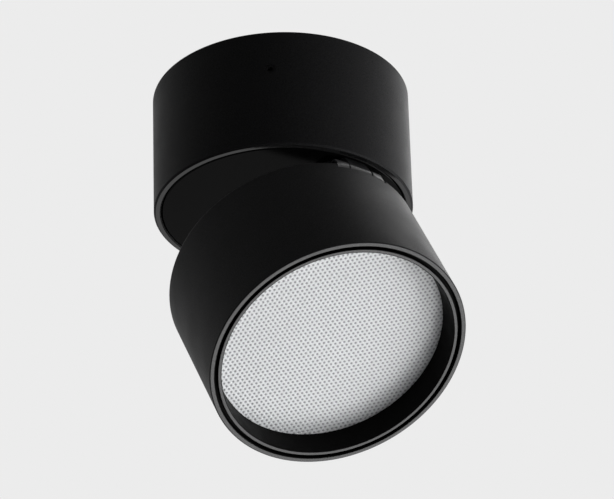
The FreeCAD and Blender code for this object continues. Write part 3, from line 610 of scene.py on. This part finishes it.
def pitCell(sheet=diffuserSheet):
    # hexagonal cell with a round pit, made so that its corners meet the next cells' corners
    cell = bmesh.new()
    # this layer carries each pit's painted shade
    shade = cell.verts.layers.float.new("paintedPitShade")
    sides = 12
    bmesh.ops.create_circle(cell, cap_ends=True, segments=sides, radius=sheet["pitch"] / math.sqrt(3) * mm)
    for index, vert in enumerate(cell.verts):
        if index % 2:
            vert.co *= math.cos(math.pi / 6)  # middle of a side
    firstStep = 0.02 * mm  # each ring starts as a small inset, then gets its own radius
    for radius, depth, tint in sheet["pitRings"]:
        inner = [f for f in cell.faces if len(f.verts) == sides]
        bmesh.ops.inset_individual(cell, faces=inner, thickness=firstStep)
        inner = [f for f in cell.faces if len(f.verts) == sides][0]
        for vert in inner.verts:
            around = Vector((vert.co.x, vert.co.y, 0)).normalized()
            vert.co = around * radius * mm + Vector((0, 0, depth * mm))
            # the tint grows with the depth: painted shade down the pit walls to the floor
            vert[shade] = tint
    bmesh.ops.translate(cell, verts=cell.verts, vec=(0, 0, sheet["front"] * mm))
    return cell


def makePanel(sheet=diffuserSheet):
    pitch, reach = sheet["pitch"] * mm, sheet["patternRadius"] * mm
    back = sheet["front"] + sheet["thickness"]
    rowStep = pitch * math.sqrt(3) / 2
    lastRow = math.floor(reach / rowStep)
    panel = bmesh.new()
    panel.verts.layers.float.new("paintedPitShade")
    for row in range(-lastRow, lastRow + 1):
        shift = row % 2 / 2
        halfRow = math.sqrt(reach ** 2 - (row * rowStep) ** 2) / pitch
        first = math.ceil(-halfRow - shift)
        count = math.floor(halfRow - shift) - first + 1
        line = pitCell()
        bmesh.ops.translate(line, verts=line.verts, vec=((first + shift) * pitch, row * rowStep, 0))
        bmesh.ops.spin(line, geom=line.verts[:] + line.edges[:] + line.faces[:], axis=(0, 0, 1),
                       cent=(0, 0, 0), dvec=(pitch, 0, 0), angle=0, steps=count - 1, use_duplicate=True)
        addShape(panel, line)
    bmesh.ops.remove_doubles(panel, verts=panel.verts, dist=2e-6)
    bmesh.ops.rotate(panel, verts=panel.verts, cent=(0, 0, 0),
                     matrix=Matrix.Rotation(math.radians(sheet["patternTurn"]), 3, "Z"))
    addShape(panel, spunShape([
        (sheet["rimStart"], sheet["front"], 0), (sheet["radius"], sheet["front"], sheet["edge"]),
        (sheet["radius"], back, sheet["edge"]), (0, back, 0)], closed=False))
    bmesh.ops.triangle_fill(panel, use_beauty=True, edges=[e for e in panel.edges if e.is_boundary],
                            normal=(0, 0, -1))
    piece = placeMesh("dotted_panel", panel)
    finishPiece(piece, "head", "diffuser", diffuserPane, openHead)


makeHeadCan()
makeGlareRing()
makePanel()
softCopy("back_plate", "rear_cover", 0.15, "head", coat)
softCopy("hinge_ears", "hinge_bracket", 0.15, "head", casting)
softCopy("hinge_pivot", "hinge_pin", 0.25, "head", blackSteel)
softCopy("lead_sleeve", "lead_grommet", 0.3, "head", rubber)
softCopy("light_cone", "reflector", 0.25, "head", reflectorWhite)
softCopy("finned_sink", "heat_sink", 0.15, "head", castAluminium)
print("head made")


# screws, each with the recess that turns it

screwGroups = {
    "cover_screws": {"node": "rear_cover_screws", "body": "head", "slot": "black_screw",
                     "finish": blackSteel, "places": aroundAxis(36, 3, 90), "face": -58.9,
                     "deep": 1.1, "drive": "cross", "edge": 0.12, "swing": openHead},
    "bracket_screws": {"node": "hinge_bracket_screws", "body": "head", "slot": "black_screw",
                       "finish": blackSteel, "places": ((-6, -37), (6, -37)), "face": -58.9,
                       "deep": 1.1, "drive": "cross", "edge": 0.12, "swing": openHead},
    "sink_screws": {"node": "heat_sink_screws", "body": "head", "slot": "zinc_plate",
                    "finish": steel, "places": aroundAxis(45, 3, 90), "face": -84.1,
                    "deep": 1.1, "drive": "cross", "edge": 0.25, "swing": openHead},
    "light_board_screws": {"node": "board_screws", "body": "head", "slot": "zinc_plate",
                           "finish": steel, "places": aroundAxis(28.5, 3, 90), "face": -84.5,
                           "deep": 1.1, "drive": "cross", "edge": 0.25, "swing": openHead},
    "arm_screws": {"node": "hinge_arm_screws", "body": "swivel", "slot": "zinc_plate",
                   "finish": steel, "places": ((-5, -35.6), (5, -35.6)), "face": -47.8,
                   "deep": 1.1, "drive": "cross", "edge": 0.12, "swing": Matrix()},
    "tray_screws": {"node": "driver_screws", "body": "base", "slot": "zinc_plate",
                    "finish": steel, "places": ((-37.25, 0), (37.25, 0)), "face": -30.1,
                    "deep": 1.1, "drive": "cross", "edge": 0.25, "swing": baseTurn},
    "ground_screw": {"node": "earth_screw", "body": "base", "slot": "brass_plate",
                     "finish": brass, "places": ((0, 33),), "face": -39.55,
                     "deep": 1.1, "drive": "cross", "edge": 0.25, "swing": baseTurn},
    "clamp_screws": {"node": "terminal_screws", "body": "base", "slot": "brass_plate",
                     "finish": brass, "places": ((-6.5, -30), (0, -30), (6.5, -30)), "face": -10.5,
                     "deep": 0.8, "drive": "slot", "edge": 0.1, "swing": baseTurn},
}
for name, group in screwGroups.items():
    makeScrews(name, group)
print("screws made")


# studio: floor at room depth below the ceiling, pale surroundings and soft lamps

studio = {
    "floorLevel": -2.6, "floorSize": 14.0, "pale": (0.839, 0.839, 0.839), "ambient": 0.004,
}


def seenRays(tree):
    # 1 where a ray shows the surroundings: straight, mirrored or through something clear
    rays = addNode(tree, "ShaderNodeLightPath")
    seen = rays.outputs["Is Camera Ray"]
    for kind in ("Is Glossy Ray", "Is Transmission Ray"):
        either = addNode(tree, "ShaderNodeMath", {0: seen, 1: rays.outputs[kind]}, operation="MAXIMUM")
        seen = either.outputs[0]
    return seen


def paleBackdrop(name="paleFloor"):
    material, tree, shader = newFinish(name, (0.8, 0.8, 0.8), 0.9, specular=0.1)
    seen = addNode(tree, "ShaderNodeEmission", {"Color": (*studio["pale"], 1), "Strength": 1.0})
    mix = addNode(tree, "ShaderNodeMixShader", {"Fac": seenRays(tree)})
    tree.links.new(shader.outputs["BSDF"], mix.inputs[1])
    tree.links.new(seen.outputs["Emission"], mix.inputs[2])
    tree.links.new(mix.outputs["Shader"], tree.nodes["Material Output"].inputs["Surface"])
    return material


floorShape = bmesh.new()
bmesh.ops.create_grid(floorShape, x_segments=8, y_segments=8, size=studio["floorSize"] / 2,
                      matrix=Matrix.Translation((0, 0, studio["floorLevel"])))
floor = placeMesh("studio_floor", floorShape)
floor.data.materials.append(paleBackdrop())

world = bpy.data.worlds.new("paleRoom")
bpy.context.scene.world = world
world.use_nodes = True
sky = world.node_tree
dim = sky.nodes["Background"]
dim.inputs["Color"].default_value = (1, 1, 1, 1)
dim.inputs["Strength"].default_value = studio["ambient"]
pale = addNode(sky, "ShaderNodeBackground", {"Color": (*studio["pale"], 1), "Strength": 1.0})
choose = addNode(sky, "ShaderNodeMixShader", {"Fac": seenRays(sky)})
sky.links.new(dim.outputs["Background"], choose.inputs[1])
sky.links.new(pale.outputs["Background"], choose.inputs[2])
sky.links.new(choose.outputs["Shader"], sky.nodes["World Output"].inputs["Surface"])

# azimuth 0 is on the -Y side, where the head aims; the photograph is taken from about -37
softLamps = {
    "key": {"azimuth": 58, "elevation": -49, "distance": 1.3, "size": (1.7, 1.3), "power": 16.0},
    "side": {"azimuth": 60, "elevation": -18, "distance": 1.3, "size": (0.9, 0.9), "power": 11.2},
    "high": {"azimuth": 105, "elevation": 48, "distance": 1.3, "size": (1.0, 1.0), "power": 7.0},
    "left": {"azimuth": -150, "elevation": 0, "distance": 1.3, "size": (0.7, 0.6), "power": 0.9},
}


def placeAround(azimuth, elevation, distance):
    a, e = math.radians(azimuth), math.radians(elevation)
    return Vector((math.sin(a) * math.cos(e), -math.cos(a) * math.cos(e), math.sin(e))) * distance


lampCentre = Vector((0, 0, -0.07))
for name, lamp in softLamps.items():
    light = bpy.data.lights.new(name + "_softbox", "AREA")
    light.shape = "RECTANGLE"
    light.size, light.size_y = lamp["size"]
    light.energy = lamp["power"]
    holder = bpy.data.objects.new(name + "_softbox", light)
    outward = placeAround(lamp["azimuth"], lamp["elevation"], lamp["distance"])
    holder.location = lampCentre + outward
    holder.rotation_euler = outward.to_track_quat("Z", "Y").to_euler()
    holder.visible_camera = False
    bpy.context.scene.collection.objects.link(holder)

viewpoint = {"azimuth": -37.269, "elevation": -30.193, "distance": 1.5507,
             "aim": (0.00687, -0.00523, -0.06776), "roll": -1.704, "lens": 237.085}
camera = bpy.data.cameras.new("photoView")
camera.lens = viewpoint["lens"]
camera.sensor_width = 36
cameraHolder = bpy.data.objects.new("photoView", camera)
backward = placeAround(viewpoint["azimuth"], viewpoint["elevation"], viewpoint["distance"])
cameraHolder.location = Vector(viewpoint["aim"]) + backward
roll = Matrix.Rotation(math.radians(viewpoint["roll"]), 3, "Z")
cameraHolder.rotation_euler = (backward.to_track_quat("Z", "Y").to_matrix() @ roll).to_euler()
bpy.context.scene.collection.objects.link(cameraHolder)
bpy.context.scene.camera = cameraHolder
bpy.context.scene.view_settings.view_transform = "Standard"
print("studio set")
